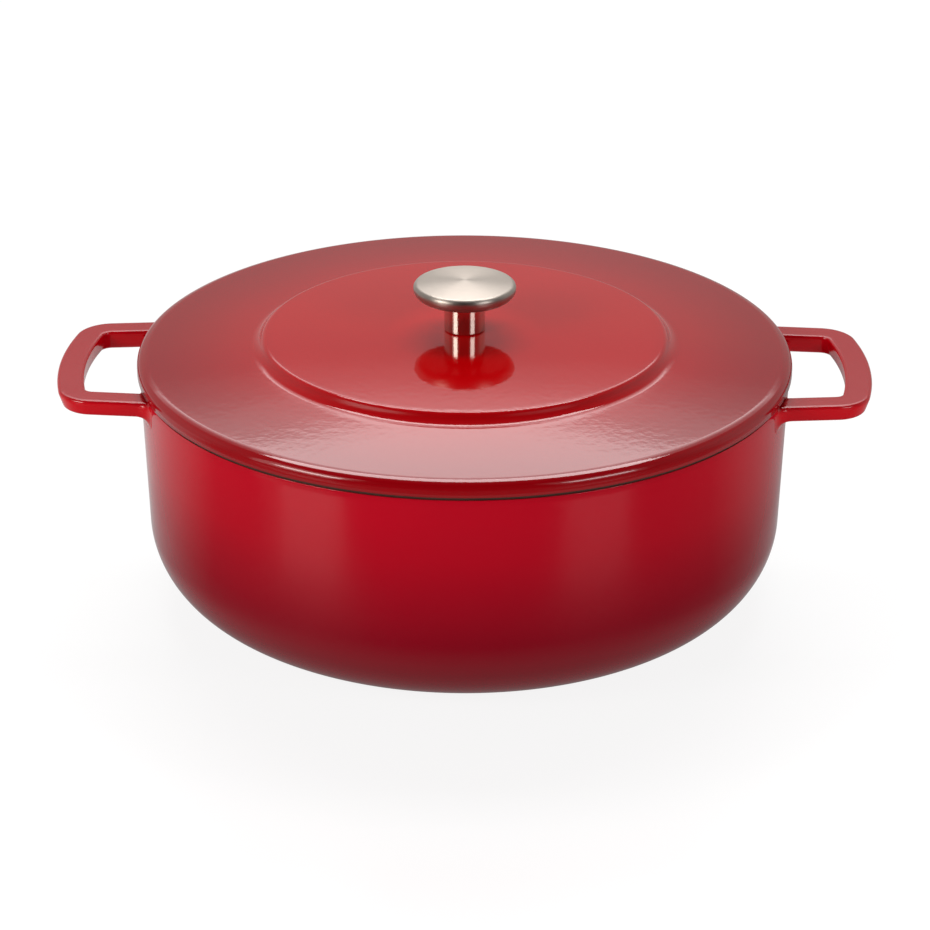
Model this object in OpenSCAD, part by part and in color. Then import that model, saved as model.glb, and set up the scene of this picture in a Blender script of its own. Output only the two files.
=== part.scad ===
// Round cast iron dutch oven: enamelled pot with two loop handles, lift-off lid and steel knob.
// Lengths are in millimetres. Z is up. The origin is on the table, under the centre of the pot.

/* [Pot] */
// Outer diameter at the rim, over the enamel
rim_d = 270; // [240:1:300]
// Height of the rim above the table
rim_z = 99.4; // [85:0.1:130]
// Thickness of the wall and floor, with the enamel on both sides
pot_wall = 4.6; // [4:0.1:7]
// Draft of the side wall, in degrees
wall_draft = 1.7; // [0.5:0.1:4]
// Outer radius of the bottom corner
corner_r = 34.5; // [22:0.5:45]
// Outer diameter of the ground foot ring
foot_d = 194; // [140:1:196]
// Width of the foot ring
foot_w = 9; // [5:0.5:20]
// Height of the foot ring below the enamelled base
foot_h = 0.8; // [0.5:0.1:2]

/* [Enamel] */
// Thickness of each coat
coat_t = 0.4; // [0.2:0.05:0.8]
// Height of the bare band on each side of the seam between pot and lid
bare_h = 0.8; // [0.4:0.1:1.5]

/* [Handles] */
// How far a handle stands out from the rim
handle_reach = 34.6; // [28:0.1:45]
// Outer width of a handle where it meets the rim
handle_w = 89.6; // [70:0.2:110]
// Width of the bar, seen from above
bar_w = 11.6; // [9:0.1:13]
// Height of the bar on its inner side
bar_in_h = 8; // [5:0.1:10]
// Height of the bar on its outer side
bar_out_h = 6.8; // [4.5:0.1:10]
// Lean of the bar's inner side, from its top edge to its bottom edge
bar_in_lean = 0.7; // [0:0.1:1]
// Lean of the bar's outer side, from its top edge to its bottom edge
bar_out_lean = 2.2; // [0:0.1:2.5]
// Radius of the bar's long edges
bar_edge_r = 1.2; // [0.9:0.1:1.8]
// Outer radius of a handle's corners
bend_r = 15.5; // [14:0.5:22]
// Outer radius of the bow at a handle's end
bow_r = 148; // [110:1:300]
// Angle at which each arm leans in, in degrees
arm_lean = 5; // [2:0.5:9]
// Drop from the rim to the top of the handles
handle_drop = 1; // [1:0.1:10]
// Extra half width and depth of an arm where it grows out of the wall
root_flare = 2.5; // [0:0.1:4]
// Length over which that flare fades out
root_len = 9; // [5:0.5:12]

/* [Lid] */
// Overhang of the lid past the rim
overhang = 1; // [0.5:0.1:3]
// Height of the lid's edge above the rim
edge_h = 6.8; // [6:0.1:10]
// Radius of the lid's top edge
edge_r = 2.5; // [1.5:0.1:4]
// Thickness of the lid's plate, with the enamel on both sides
lid_wall = 4.4; // [3.6:0.1:5.5]
// Rise of the shoulder from the edge to the step
shoulder_rise = 2.3; // [0:0.1:3]
// Diameter of the raised disc
disc_d = 167.2; // [140:0.2:190]
// Height of the step round the disc
step_h = 4; // [3:0.1:6]
// Horizontal run of the step
step_run = 2.8; // [2.5:0.1:4.5]
// Radius of the step's top edge
step_top_r = 2.6; // [1:0.1:3.5]
// Radius of the fillet at the step's foot
step_foot_r = 5; // [1:0.1:6]
// Rise of the disc from its edge to the knob
disc_rise = 1.4; // [0.5:0.1:5]
// Gap between the locating lip and the mouth of the pot
lip_gap = 1.2; // [0.5:0.1:3]
// Width of the locating lip
lip_w = 4; // [3:0.1:6]
// Depth of the locating lip below the rim
lip_h = 4; // [2.5:0.1:6]
// Number of basting rings under the disc
ring_count = 3; // [1:1:3]
// Radius of the first basting ring
ring_first_r = 24; // [18:0.5:28]
// Distance from one basting ring to the next
ring_pitch = 18; // [10:0.5:18]
// Height of a basting ring
ring_h = 1.8; // [1.2:0.1:2.4]

/* [Knob] */
// Diameter of the knob's cap
cap_d = 42.5; // [36:0.5:50]
// Height of the cap's widest line above the disc
cap_z = 18.4; // [15:0.1:24]
// Height of the cap's shoulder above its widest line
cap_up_h = 1.6; // [1.2:0.1:4]
// Depth of the cap below its widest line
cap_down_h = 4.1; // [3:0.1:5]
// Rise of the cap's crown above its shoulder
crown_rise = 1.9; // [0.2:0.1:3]
// Diameter of the stem
stem_d = 17; // [14:0.5:20]
// Radius of the stem's foot
stem_foot_r = 0.7; // [0.3:0.1:1.5]
// Width of the flat seat outside the stem
seat_w = 1.5; // [1:0.1:3]
// Diameter of the spigot that the cap is pressed on
spigot_d = 9; // [8:0.1:11]
// Height of the spigot
spigot_h = 3.5; // [2:0.1:4.5]
// Radial gap of the fitted and threaded parts
fit_gap = 0.05; // [0.02:0.01:0.1]

/* [Fastening] */
// Diameter of the screw's shank
screw_d = 6; // [5:0.5:6]
// Length of the screw under its head
screw_len = 20; // [18:1:22]
// Diameter of the screw's head
head_d = 11; // [10:0.5:12]
// Height of the screw's head
head_h = 3.3; // [2.5:0.1:4]
// Size of the hexagon socket across its flats
socket_w = 4; // [3:0.5:5]
// Diameter of the hole through the lid
hole_d = 7; // [6.6:0.1:8]
// Outer diameter of the soft washer
seal_d = 20; // [16:0.5:24]
// Thickness of the soft washer
seal_t = 1; // [0.5:0.1:2]
// Outer diameter of the flat washer
flat_d = 18; // [14:0.5:20]
// Thickness of the flat washer
flat_t = 1.2; // [0.8:0.1:2]
// Outer diameter of the spring washer
lock_d = 10.4; // [9.5:0.1:11]
// Thickness of the spring washer
lock_t = 1.6; // [1:0.1:2]
// Angle of the gap in the spring washer, in degrees
lock_gap = 12; // [6:1:20]
// Radial gap of the washers round the shank
washer_gap = 0.2; // [0.1:0.05:0.4]

/* [Hidden] */
$fn = 96;

enamel_colour = "#a50014";
lining_colour = "#e6dcc6";
iron_colour = "#2c2524";
steel_colour = "#c9c4ba";
rubber_colour = "#3a3a3a";

// Facets on a round corner: many on a large one, few on a small one
large_r = 10;
large_steps = 12;
small_steps = 5;
dome_steps = 6;

// Pot
rim_r = rim_d / 2;
mouth_r = rim_r - pot_wall / cos(wall_draft);
foot_bite = 0.5;

// Handles: the bow, the bends and the arms share one line along the middle of the bar
bar_top_z = rim_z - handle_drop;
bow_mid_r = bow_r - bar_w / 2;
bow_x = rim_r + handle_reach - bow_r;
bend_mid_r = bend_r - bar_w / 2;
arm_y = handle_w / 2 - bar_w / 2 / cos(arm_lean);
// The bend touches the arm's line and the bow from inside, which gives a quadratic for its centre
lean = tan(arm_lean);
line_y = arm_y + lean * rim_r - bend_mid_r / cos(arm_lean);
reach_r = bow_mid_r - bend_mid_r;
half_b = bow_x + line_y * lean;
square_a = 1 + lean * lean;
bend_x = (half_b + sqrt(half_b * half_b - square_a
    * (bow_x * bow_x + line_y * line_y - reach_r * reach_r))) / square_a;
bend_y = line_y - lean * bend_x;
bow_a = atan2(bend_y, bend_x - bow_x);
root_x = sqrt(rim_r * rim_r - arm_y * arm_y);
root_bite = 12;
root_steps = 4;
bend_steps = 8;
bow_steps = 4;
bar_steps = 3;

// Lid
lid_r = rim_r + overhang;
edge_z = rim_z + edge_h;
shoulder_z = edge_z + shoulder_rise;
disc_r = disc_d / 2;
disc_z = shoulder_z + step_h;
knob_z = disc_z + disc_rise;
seat_r = stem_d / 2 + seat_w;
ceiling_z = disc_z - lid_wall;
under_step_r = disc_r - lid_wall;
under_fillet_r = 2;
lip_out_r = mouth_r - lip_gap;
lip_in_r = lip_out_r - lip_w;
lip_z = rim_z - lip_h;
lip_edge_r = 1;
hole_r = hole_d / 2;

// Knob and its fastening
cap_r = cap_d / 2;
cap_under_z = knob_z + cap_z - cap_down_h;
cap_shoulder_z = knob_z + cap_z + cap_up_h;
cap_flat = 0.1;
flat_z = ceiling_z - seal_t - flat_t;
head_z = flat_z - lock_t;
screw_tip_z = head_z + screw_len;
screw_r = screw_d / 2;
tip_room = 1;
tip_bevel = 0.6;
socket_depth = head_h * 0.6;
head_edge_r = 1.8;
washer_r = screw_r + washer_gap;

// A profile is a list of [radius, height, rounding], with the solid on its left.
function point(p) = [p[0], p[1]];

function inward(a, b) = let (d = point(b) - point(a)) [-d[1], d[0]] / norm(d);

function turn(p, q) = atan2(p[0] * q[1] - p[1] * q[0], p * q);

function turned(p, angle) = [p[0] * cos(angle) - p[1] * sin(angle),
    p[0] * sin(angle) + p[1] * cos(angle)];

// The rounding after an inset shrinks on a convex corner and grows on a hollow one
function inset_rounding(r, angle, g) = r == 0 ? 0 : max(0, r - g * sign(angle));

function inset_corner(a, b, c, g) = let (p = inward(a, b), q = inward(b, c),
    m = point(b) + g * (p + q) / (1 + p * q)) [m[0], m[1], inset_rounding(b[2], turn(p, q), g)];

function inset_end(p, a, b, g) = let (m = point(p) + g * inward(a, b)) [m[0], m[1], 0];

// The profile moved inwards by g all along
function inset(pts, g) = let (last = len(pts) - 1) [for (i = [0:last])
    i == 0 ? inset_end(pts[0], pts[0], pts[1], g)
    : i == last ? inset_end(pts[last], pts[last - 1], pts[last], g)
    : inset_corner(pts[i - 1], pts[i], pts[i + 1], g)];

function steps_for(r) = r > large_r ? large_steps : small_steps;

function round_corner(a, b, c, steps) = let (p = inward(a, b), q = inward(b, c),
    angle = turn(p, q), r = b[2] * sign(angle), m = point(b) + r * (p + q) / (1 + p * q))
    b[2] == 0 ? [point(b)] : [for (i = [0:steps]) m - r * turned(p, angle * i / steps)];

// The profile's points, with an arc at each corner that has a rounding
function rounded(pts) = let (last = len(pts) - 1) [for (i = [0:last])
    each i == 0 || i == last ? [point(pts[i])]
    : round_corner(pts[i - 1], pts[i], pts[i + 1], steps_for(pts[i][2]))];

function reversed(pts) = [for (i = [len(pts) - 1:-1:0]) pts[i]];

// Stations from r_out in to r_in on a parabolic dome that is z_top high at r_in and falls by rise
function dome(r_out, r_in, z_top, rise) = [for (i = [1:dome_steps])
    let (r = r_out + (r_in - r_out) * i / dome_steps,
        k = (r * r - r_in * r_in) / (r_out * r_out - r_in * r_in)) [r, z_top - rise * k, 0]];

// Pot
function wall_x(z, g) = rim_r - g / cos(wall_draft) - (rim_z - z) * tan(wall_draft);

function pot_profile(g, top) = rounded([
    [0, foot_h + g, 0],
    [wall_x(foot_h + g, g), foot_h + g, corner_r - g],
    [wall_x(top, g), top, 0]]);

module coat(outer, inner) {
    rotate_extrude() polygon(concat(outer, reversed(inner)));
}

module pot_filled(g, top) {
    rotate_extrude() polygon(concat(pot_profile(g, top), [[0, top]]));
    handle(g);
    mirror([1, 0, 0]) handle(g);
}

module foot_ring() {
    rotate_extrude() translate([foot_d / 2 - foot_w, 0])
        square([foot_w, foot_h + coat_t + foot_bite]);
}

// A bar's section, inset by g and grown by f at the root, with the bar's middle at 0
function bar_section(g, f) = let (out = bar_w / 2 + f, corners = [
    [-out + bar_in_lean, bar_top_z - bar_in_h - f],
    [out - bar_out_lean, bar_top_z - bar_out_h - f],
    [out, bar_top_z],
    [-out, bar_top_z]],
    pts = [for (i = [0:3]) inset_corner(corners[(i + 3) % 4], [each corners[i], bar_edge_r],
        corners[(i + 1) % 4], g)])
    [for (i = [0:3]) each round_corner(pts[(i + 3) % 4], pts[i], pts[(i + 1) % 4], bar_steps)];

function flare(x) = root_flare * pow(max(0, root_x + root_len - max(x, root_x)) / root_len, 2);

// A station on the bar's middle line: [x, y, angle of its outer side, flare]
function arm_station(x) = [x, arm_y - lean * (x - rim_r), 90 - arm_lean, flare(x)];

function arc_station(x, y, r, angle) = [x + r * cos(angle), y + r * sin(angle), angle, 0];

half_bar = concat(
    [arm_station(root_x - root_bite)],
    [for (i = [0:root_steps]) arm_station(root_x + root_len * i / root_steps)],
    [for (i = [0:bend_steps]) arc_station(bend_x, bend_y, bend_mid_r,
        90 - arm_lean + (bow_a + arm_lean - 90) * i / bend_steps)],
    [for (i = [1:bow_steps]) arc_station(bow_x, 0, bow_mid_r, bow_a * (1 - i / bow_steps))]);

bar_line = concat(half_bar, [for (i = [len(half_bar) - 2:-1:0]) let (s = half_bar[i])
    [s[0], -s[1], -s[2], s[3]]]);

// The section carried along the bar's middle line
module handle(g) {
    n = 4 * (bar_steps + 1);
    last = len(bar_line) - 1;
    points = [for (s = bar_line) for (p = bar_section(g, s[3]))
        [s[0] + p[0] * cos(s[2]), s[1] + p[0] * sin(s[2]), p[1]]];
    sides = [for (k = [0:last - 1]) for (i = [0:n - 1]) let (j = (i + 1) % n, a = k * n + i,
        b = k * n + j) each [[a, a + n, b + n], [a, b + n, b]]];
    ends = [[for (i = [0:n - 1]) i], [for (i = [n - 1:-1:0]) last * n + i]];
    polyhedron(points, concat(sides, ends));
}

module pot_casting() {
    color(iron_colour) difference() {
        union() {
            pot_filled(coat_t, rim_z);
            foot_ring();
        }
        rotate_extrude() polygon(concat(pot_profile(pot_wall - coat_t, rim_z + 1), [[0, rim_z + 1]]));
    }
}

module pot_outer_enamel() {
    color(enamel_colour) difference() {
        pot_filled(0, rim_z - bare_h);
        pot_filled(coat_t, rim_z);
        foot_ring();
    }
}

module pot_inner_enamel() {
    color(lining_colour) coat(pot_profile(pot_wall - coat_t, rim_z - bare_h),
        pot_profile(pot_wall, rim_z - bare_h));
}

// Lid
lid_top = concat([
    [lid_r, rim_z + bare_h, 0],
    [lid_r, edge_z, edge_r],
    [disc_r + step_run, shoulder_z, step_foot_r],
    [disc_r, disc_z, step_top_r]],
    dome(disc_r, seat_r, knob_z, disc_rise),
    [[hole_r, knob_z, 0]]);

// Height of the plate's underside, which keeps parallel to the shoulder
function under_z(r) = edge_z - lid_wall + shoulder_rise * (lid_r - r) / (lid_r - disc_r - step_run);

rings = [for (i = [0:ring_count - 1]) let (r = ring_first_r + i * ring_pitch) each [
    [r - 1.5 * ring_h, ceiling_z, ring_h / 2],
    [r - 0.5 * ring_h, ceiling_z - ring_h, ring_h / 2],
    [r + 0.5 * ring_h, ceiling_z - ring_h, ring_h / 2],
    [r + 1.5 * ring_h, ceiling_z, ring_h / 2]]];

lid_under = concat([[hole_r, ceiling_z, 0]], rings, [
    [under_step_r, ceiling_z, under_fillet_r],
    [under_step_r + step_run, under_z(under_step_r + step_run), under_fillet_r],
    [lip_in_r, under_z(lip_in_r), under_fillet_r],
    [lip_in_r, lip_z, lip_edge_r],
    [lip_out_r, lip_z, lip_edge_r],
    [lip_out_r, rim_z, 0]]);

module lid_casting() {
    color(iron_colour) rotate_extrude() polygon(concat(rounded(inset(lid_under, coat_t)),
        [[lid_r - coat_t, rim_z]], rounded(inset(lid_top, coat_t))));
}

module lid_outer_enamel() {
    color(enamel_colour) coat(rounded(lid_top), rounded(inset(lid_top, coat_t)));
}

module lid_inner_enamel() {
    color(lining_colour) coat(rounded(lid_under), rounded(inset(lid_under, coat_t)));
}

// Knob
module knob_cap() {
    socket_r = spigot_d / 2 + fit_gap;
    socket_z = cap_under_z + spigot_h + fit_gap;
    color(steel_colour) rotate_extrude() polygon(concat(rounded(concat([
        [socket_r, cap_under_z, 0],
        [cap_r, cap_under_z, cap_down_h - cap_flat],
        [cap_r, cap_shoulder_z, cap_up_h - cap_flat]],
        dome(cap_r, 0, cap_shoulder_z + crown_rise, crown_rise))),
        [[0, socket_z], [socket_r, socket_z]]));
}

module knob_stem() {
    color(steel_colour) difference() {
        union() {
            rotate_extrude() polygon(rounded([
                [0, knob_z, 0],
                [stem_d / 2, knob_z, stem_foot_r],
                [stem_d / 2, cap_under_z, 0],
                [0, cap_under_z, 0]]));
            translate([0, 0, knob_z]) cylinder(h = cap_under_z + spigot_h - knob_z, d = spigot_d);
        }
        translate([0, 0, knob_z - tip_room])
            cylinder(h = screw_tip_z - knob_z + 2 * tip_room, r = screw_r + fit_gap);
    }
}

module ring(z, height, r_in, r_out, angle = 360) {
    translate([0, 0, z]) rotate_extrude(angle = angle) translate([r_in, 0])
        square([r_out - r_in, height]);
}

module seal_washer() {
    color(rubber_colour) ring(ceiling_z - seal_t, seal_t, washer_r, seal_d / 2);
}

module flat_washer() {
    color(steel_colour) ring(flat_z, flat_t, washer_r, flat_d / 2);
}

module lock_washer() {
    color(steel_colour) ring(head_z, lock_t, washer_r, lock_d / 2, 360 - lock_gap);
}

module knob_screw() {
    color(steel_colour) difference() {
        rotate_extrude() polygon(rounded([
            [0, head_z - head_h, 0],
            [head_d / 2, head_z - head_h, head_edge_r],
            [head_d / 2, head_z, 0],
            [screw_r, head_z, 0],
            [screw_r, screw_tip_z - tip_bevel, 0],
            [screw_r - tip_bevel, screw_tip_z, 0],
            [0, screw_tip_z, 0]]));
        translate([0, 0, head_z - head_h - 1])
            cylinder(h = socket_depth + 1, d = socket_w / cos(30), $fn = 6);
    }
}

pot_casting();
pot_outer_enamel();
pot_inner_enamel();
lid_casting();
lid_outer_enamel();
lid_inner_enamel();
knob_cap();
knob_stem();
seal_washer();
flat_washer();
lock_washer();
knob_screw();
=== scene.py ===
# %% [markdown]
# # An enamelled iron dutch oven
#
# The oven is two iron castings with glass fused on them, a turned steel knob, and the screw that holds the
# knob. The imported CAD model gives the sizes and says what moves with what. This lesson adds smooth surfaces
# and finishes round it. Lengths are in metres, +Z is up, the pot stands on z = 0, and the Z axis is its own
# axis.

# %% Load the frame
import math

import bpy
import numpy as np
from mathutils import Matrix, Vector


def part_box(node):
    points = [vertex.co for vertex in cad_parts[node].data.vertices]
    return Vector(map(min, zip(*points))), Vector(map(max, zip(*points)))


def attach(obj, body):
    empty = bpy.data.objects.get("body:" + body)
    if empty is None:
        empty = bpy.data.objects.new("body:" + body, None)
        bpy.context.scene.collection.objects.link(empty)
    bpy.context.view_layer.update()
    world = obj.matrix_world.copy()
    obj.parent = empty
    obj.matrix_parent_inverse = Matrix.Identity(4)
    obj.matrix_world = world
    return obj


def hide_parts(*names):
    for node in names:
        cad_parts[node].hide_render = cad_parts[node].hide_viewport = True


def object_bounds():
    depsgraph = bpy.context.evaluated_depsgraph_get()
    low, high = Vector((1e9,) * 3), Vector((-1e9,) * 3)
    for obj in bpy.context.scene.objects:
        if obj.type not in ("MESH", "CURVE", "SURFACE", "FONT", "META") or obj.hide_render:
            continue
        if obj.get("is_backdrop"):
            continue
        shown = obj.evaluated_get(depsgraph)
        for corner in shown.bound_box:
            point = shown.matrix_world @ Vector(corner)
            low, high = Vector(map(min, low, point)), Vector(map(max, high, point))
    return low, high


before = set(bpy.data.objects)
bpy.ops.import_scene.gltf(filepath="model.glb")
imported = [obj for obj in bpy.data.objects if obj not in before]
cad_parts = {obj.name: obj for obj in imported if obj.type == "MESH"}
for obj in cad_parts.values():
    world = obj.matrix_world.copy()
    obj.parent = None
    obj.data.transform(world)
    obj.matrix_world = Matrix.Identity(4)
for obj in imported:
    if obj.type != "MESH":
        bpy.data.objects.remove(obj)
cad_low, cad_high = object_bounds()
MM = 0.001

# %% [markdown]
# ## Sizes
#
# Each height and radius that the CAD model already holds is read from a node's box, so a later change to the
# model carries over. What a box doesn't show, such as a rounding or a slope, is a named length here.

# %% Sizes from the CAD boxes
FOOT_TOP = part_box("pot_outer_enamel")[0].z
GLAZE_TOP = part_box("pot_outer_enamel")[1].z
RIM_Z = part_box("pot_casting")[1].z
BARE = RIM_Z - GLAZE_TOP
HANDLE_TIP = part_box("pot_outer_enamel")[1].x
LID_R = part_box("lid_outer_enamel")[1].x
LIP_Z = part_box("lid_inner_enamel")[0].z
LIP_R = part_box("lid_inner_enamel")[1].x
KNOB_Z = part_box("knob_stem")[0].z
STEM_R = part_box("knob_stem")[1].x
CAP_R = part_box("knob_cap")[1].x
CAP_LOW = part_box("knob_cap")[0].z
CAP_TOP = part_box("knob_cap")[1].z
print(f"rim at {RIM_Z / MM:.1f} mm, lid radius {LID_R / MM:.1f} mm, knob on {KNOB_Z / MM:.1f} mm")

# %% Sizes that no box shows
# The glass coat, and the iron wall with its draft, its lower corner and its foot ring
GLAZE = 0.4 * MM
RIM_R = 135 * MM
WALL = 4.6 * MM
DRAFT = math.radians(1.7)
CORNER_R = 34.5 * MM
FOOT_R = 97 * MM
FOOT_W = 9 * MM
# The lid's heights, from its edge up to the disc, and the radii where they are reached
EDGE_Z = RIM_Z + 6.8 * MM
SHOULDER_Z = EDGE_Z + 2.3 * MM
DISC_R = 83.6 * MM
DISC_Z = SHOULDER_Z + 4 * MM
STEP_RUN = 2.8 * MM
SEAT_R = STEM_R + 1.5 * MM
# The lid's underside: its hole, its plate's thickness, the flat inside the disc and the lip
HOLE_R = 3.5 * MM
PLATE = 4.4 * MM
CEILING_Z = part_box("lid_inner_enamel")[1].z - GLAZE
LIP_W = 4 * MM
print(f"the disc rises {(KNOB_Z - DISC_Z) / MM:.1f} mm from its edge to the knob")

# %% [markdown]
# ## Profiles
#
# Nearly everything here is turned round one axis, so its shape is a profile: a line of radius and height.
# Bevel modifiers could round the corners afterwards, but an exact arc at each corner keeps the radius that
# the mould or the lathe left, and the reflections on glossy glass show every radius.

# %% Rounded profiles
def arc_corner(a, b, c, radius, steps):
    """Points of the arc that rounds corner b between a and c. The arc's centre is b moved along the sum of
    the two inward normals, and the points turn about it from one tangent point to the other."""
    p, q = b - a, c - b
    p, q = np.array([-p[1], p[0]]) / np.hypot(*p), np.array([-q[1], q[0]]) / np.hypot(*q)
    turn = math.atan2(p[0] * q[1] - p[1] * q[0], p @ q)
    signed = radius * math.copysign(1, turn)
    centre = b + signed * (p + q) / (1 + p @ q)
    angle = np.linspace(0, turn, steps)[:, None]
    return centre - signed * (p * np.cos(angle) + np.array([-p[1], p[0]]) * np.sin(angle))


def rounded(corners, steps=9):
    """A profile from (radius, height, rounding) corners: an arc where the rounding isn't 0, the corner itself
    where it is. Roundings over 10 mm get four times the points."""
    pts = np.array([c[:2] for c in corners], float)
    out = [pts[:1]]
    for k in range(1, len(pts) - 1):
        r = corners[k][2]
        n = steps * (4 if r > 10 * MM else 1)
        out.append(arc_corner(pts[k - 1], pts[k], pts[k + 1], r, n) if r else pts[k:k + 1])
    return np.vstack(out + [pts[-1:]])


step_line = np.array([[0, 0], [5, 0], [5, 5]], float)
print("a quarter turn of 2 mm radius:", arc_corner(*step_line, 2, 3).round(2).tolist())

# %% Finer profiles, and profiles side by side
def finely(profile, longest):
    """The same profile with extra points on every stretch longer than longest, evenly spaced along it."""
    parts = [np.linspace(a, b, max(1, int(np.ceil(np.hypot(*(b - a)) / longest))), endpoint=False)
             for a, b in zip(profile[:-1], profile[1:])]
    return np.vstack(parts + [profile[-1:]])


def offset(profile, gap):
    """The profile moved to its left by gap: each point goes along the mean of its two stretches' left
    normals, divided by one plus their dot product so that the gap stays even round a corner."""
    d = np.diff(profile, axis=0)
    n = np.stack([-d[:, 1], d[:, 0]], 1) / np.linalg.norm(d, axis=1)[:, None]
    before, after = np.vstack([n[:1], n]), np.vstack([n, n[-1:]])
    return profile + gap * (before + after) / (1 + (before * after).sum(1))[:, None]


print("the same step, moved to its left by 1:", offset(step_line, 1).tolist())

# %% Meshes from arrays
def mesh_piece(name, points, faces, body, slot, *nodes):
    """A piece from its points and faces, smooth shaded, which rides on a body and stands for the CAD nodes
    that are named. slot is not used."""
    mesh = bpy.data.meshes.new(name)
    mesh.from_pydata(points.tolist(), [], faces)
    mesh.polygons.foreach_set("use_smooth", np.ones(len(mesh.polygons), bool))
    mesh.update()
    piece = bpy.data.objects.new(name, mesh)
    bpy.context.scene.collection.objects.link(piece)
    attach(piece, body)
    if nodes:
        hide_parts(*nodes)
    print(f"{name}: {len(points)} points, {len(faces)} faces")
    return piece


# %% Profiles turned round the axis
def turned(profile, count=288):
    """A closed profile (radius, height) turned round the Z axis. Point (i, j) is (r_i cos t_j, r_i sin t_j,
    z_i) with t_j = 2 pi j / count. Neighbouring rings are joined by quads, the last one to the first. Points
    on the axis become one pole each, joined by triangles. The solid lies on the profile's left."""
    t = np.arange(count) * 2 * np.pi / count
    ring = np.stack([np.cos(t), np.sin(t)], 1)
    on_axis = profile[:, 0] < 1e-9
    first = np.concatenate([[0], np.cumsum(np.where(on_axis, 1, count))])
    points = np.vstack([[[0, 0, z]] if pole else np.column_stack([r * ring, np.full(count, z)])
                        for (r, z), pole in zip(profile, on_axis)])
    j = np.arange(count)
    k = (j + 1) % count
    faces = []
    for i in range(len(profile)):
        n = (i + 1) % len(profile)
        a, b = first[i], first[n]
        if on_axis[i] and on_axis[n]:
            continue
        if on_axis[i]:
            faces += np.stack([np.full(count, a), b + k, b + j], 1).tolist()
        elif on_axis[n]:
            faces += np.stack([a + j, a + k, np.full(count, b)], 1).tolist()
        else:
            faces += np.stack([a + j, a + k, b + k, b + j], 1).tolist()
    return points, faces


square = np.array([[1, 0], [2, 0], [2, 1], [1, 1]], float)
print("points and faces of a square turned in 12 steps:", [len(part) for part in turned(square, 12)])

# %% [markdown]
# ## The pot's wall
#
# The pot was cast with a little draft, 1.7 degrees, so that it left the mould, and its side runs into the
# base through one large radius. The glass coat is 0.4 mm thick. It stops just under the rim, where a band of
# bare iron is left, because two glass edges would chip each other. Each coat is a closed shell: the outer
# profile, a small bead at its edge, and the same profile moved inwards by the coat's thickness.

# %% The wall's radius, and shells
def wall_r(z, gap=0.0):
    """Radius of the wall's outside at height z, moved inwards by gap."""
    return RIM_R - gap / math.cos(DRAFT) - (RIM_Z - z) * math.tan(DRAFT)


def pot_profile(gap, top, longest=3 * MM):
    """From the middle of the base out to the corner and up the wall, gap inside the outer surface."""
    return finely(rounded([(0, FOOT_TOP + gap, 0),
                           (wall_r(FOOT_TOP + gap, gap), FOOT_TOP + gap, CORNER_R - gap),
                           (wall_r(top, gap), top, 0)]), longest)


def shell(profile):
    """A closed coat: the profile, then the same profile moved to its left by the glass's thickness,
    backwards. A point that the move carries past the axis goes back on it."""
    closed = np.vstack([profile, offset(profile, GLAZE)[::-1]])
    closed[:, 0] = np.maximum(closed[:, 0], 0)
    return closed


print("wall radius at the rim and the base, mm:", [round(wall_r(z) / MM, 1) for z in (RIM_Z, FOOT_TOP)])

# %% The pot's glass
# The melted edge ends in a bead: two points, each so far in from the wall and so far below the glass's top
BEAD_DROP = 0.15 * MM
BEAD_IN = np.array([0.05, 0.16]) * MM
BEAD_DOWN = np.array([0.04, 0]) * MM
outside = pot_profile(0, GLAZE_TOP - BEAD_DROP)
bead = np.column_stack([wall_r(GLAZE_TOP, BEAD_IN), GLAZE_TOP - BEAD_DOWN])
coat_shape = shell(outside)
coat_shape[len(outside), 1] = GLAZE_TOP
coat_shape = np.insert(coat_shape, len(outside), bead, axis=0)
pot_glaze = mesh_piece("pot_glaze", *turned(coat_shape), "pot", "red_enamel", "pot_outer_enamel")

# %% [markdown]
# ## The pot's lining and its bare iron
#
# The lining is the same kind of glass in a pale colour. The iron shows only as the rim, a band under it and
# the foot ring, but it is a closed solid here all the same, so nothing is see-through where the coats end.

# %% The pot's lining
inside = pot_profile(WALL - GLAZE, GLAZE_TOP)
pot_lining = mesh_piece("pot_lining", *turned(shell(inside)), "pot", "pale_enamel", "pot_inner_enamel")

# %% The pot's casting
# The rounded edges of the rim and the foot, and how far outside the foot the iron's wall is taken up
RIM_EDGE = 0.4 * MM
FOOT_EDGE = 0.3 * MM
FOOT_CLEAR = 0.5 * MM
mouth = wall_r(RIM_Z, WALL - GLAZE)
brink = wall_r(RIM_Z, GLAZE)
iron_out = rounded([(0, FOOT_TOP + GLAZE, 0),
                    (FOOT_R - FOOT_W, FOOT_TOP + GLAZE, 0),
                    (FOOT_R - FOOT_W, 0, FOOT_EDGE),
                    (FOOT_R, 0, FOOT_EDGE),
                    (FOOT_R, FOOT_TOP + GLAZE, 0)], steps=5)
iron_wall = pot_profile(GLAZE, RIM_Z)
iron_wall = iron_wall[iron_wall[:, 0] > FOOT_R + FOOT_CLEAR]
iron_rim = rounded([iron_wall[-2].tolist() + [0], (brink, RIM_Z, RIM_EDGE), (mouth, RIM_Z, RIM_EDGE),
                    (mouth - BARE * math.tan(DRAFT), GLAZE_TOP, 0)], steps=6)
iron_shape = np.vstack([iron_out, iron_wall[:-2], iron_rim[:-1], inside[::-1]])
pot_iron = mesh_piece("pot_iron", *turned(iron_shape), "pot", "bare_iron", "pot_casting")

# %% [markdown]
# ## The loop handles
#
# Each handle is a bar, cast with the pot: two arms that lean towards each other by 5 degrees, two bends, and
# a bow. Its section is flat on top, narrower below, and a little deeper on the inside, where the fingers
# pull. A boolean of a bar and the wall would leave a sharp crease at the root, and a remesh would blur the
# bar's edges. So the section is carried along the bar's middle line, and near the wall each of its lines
# bends out into the wall's surface along a curve of its own, as the pattern maker's fillet does.

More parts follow.
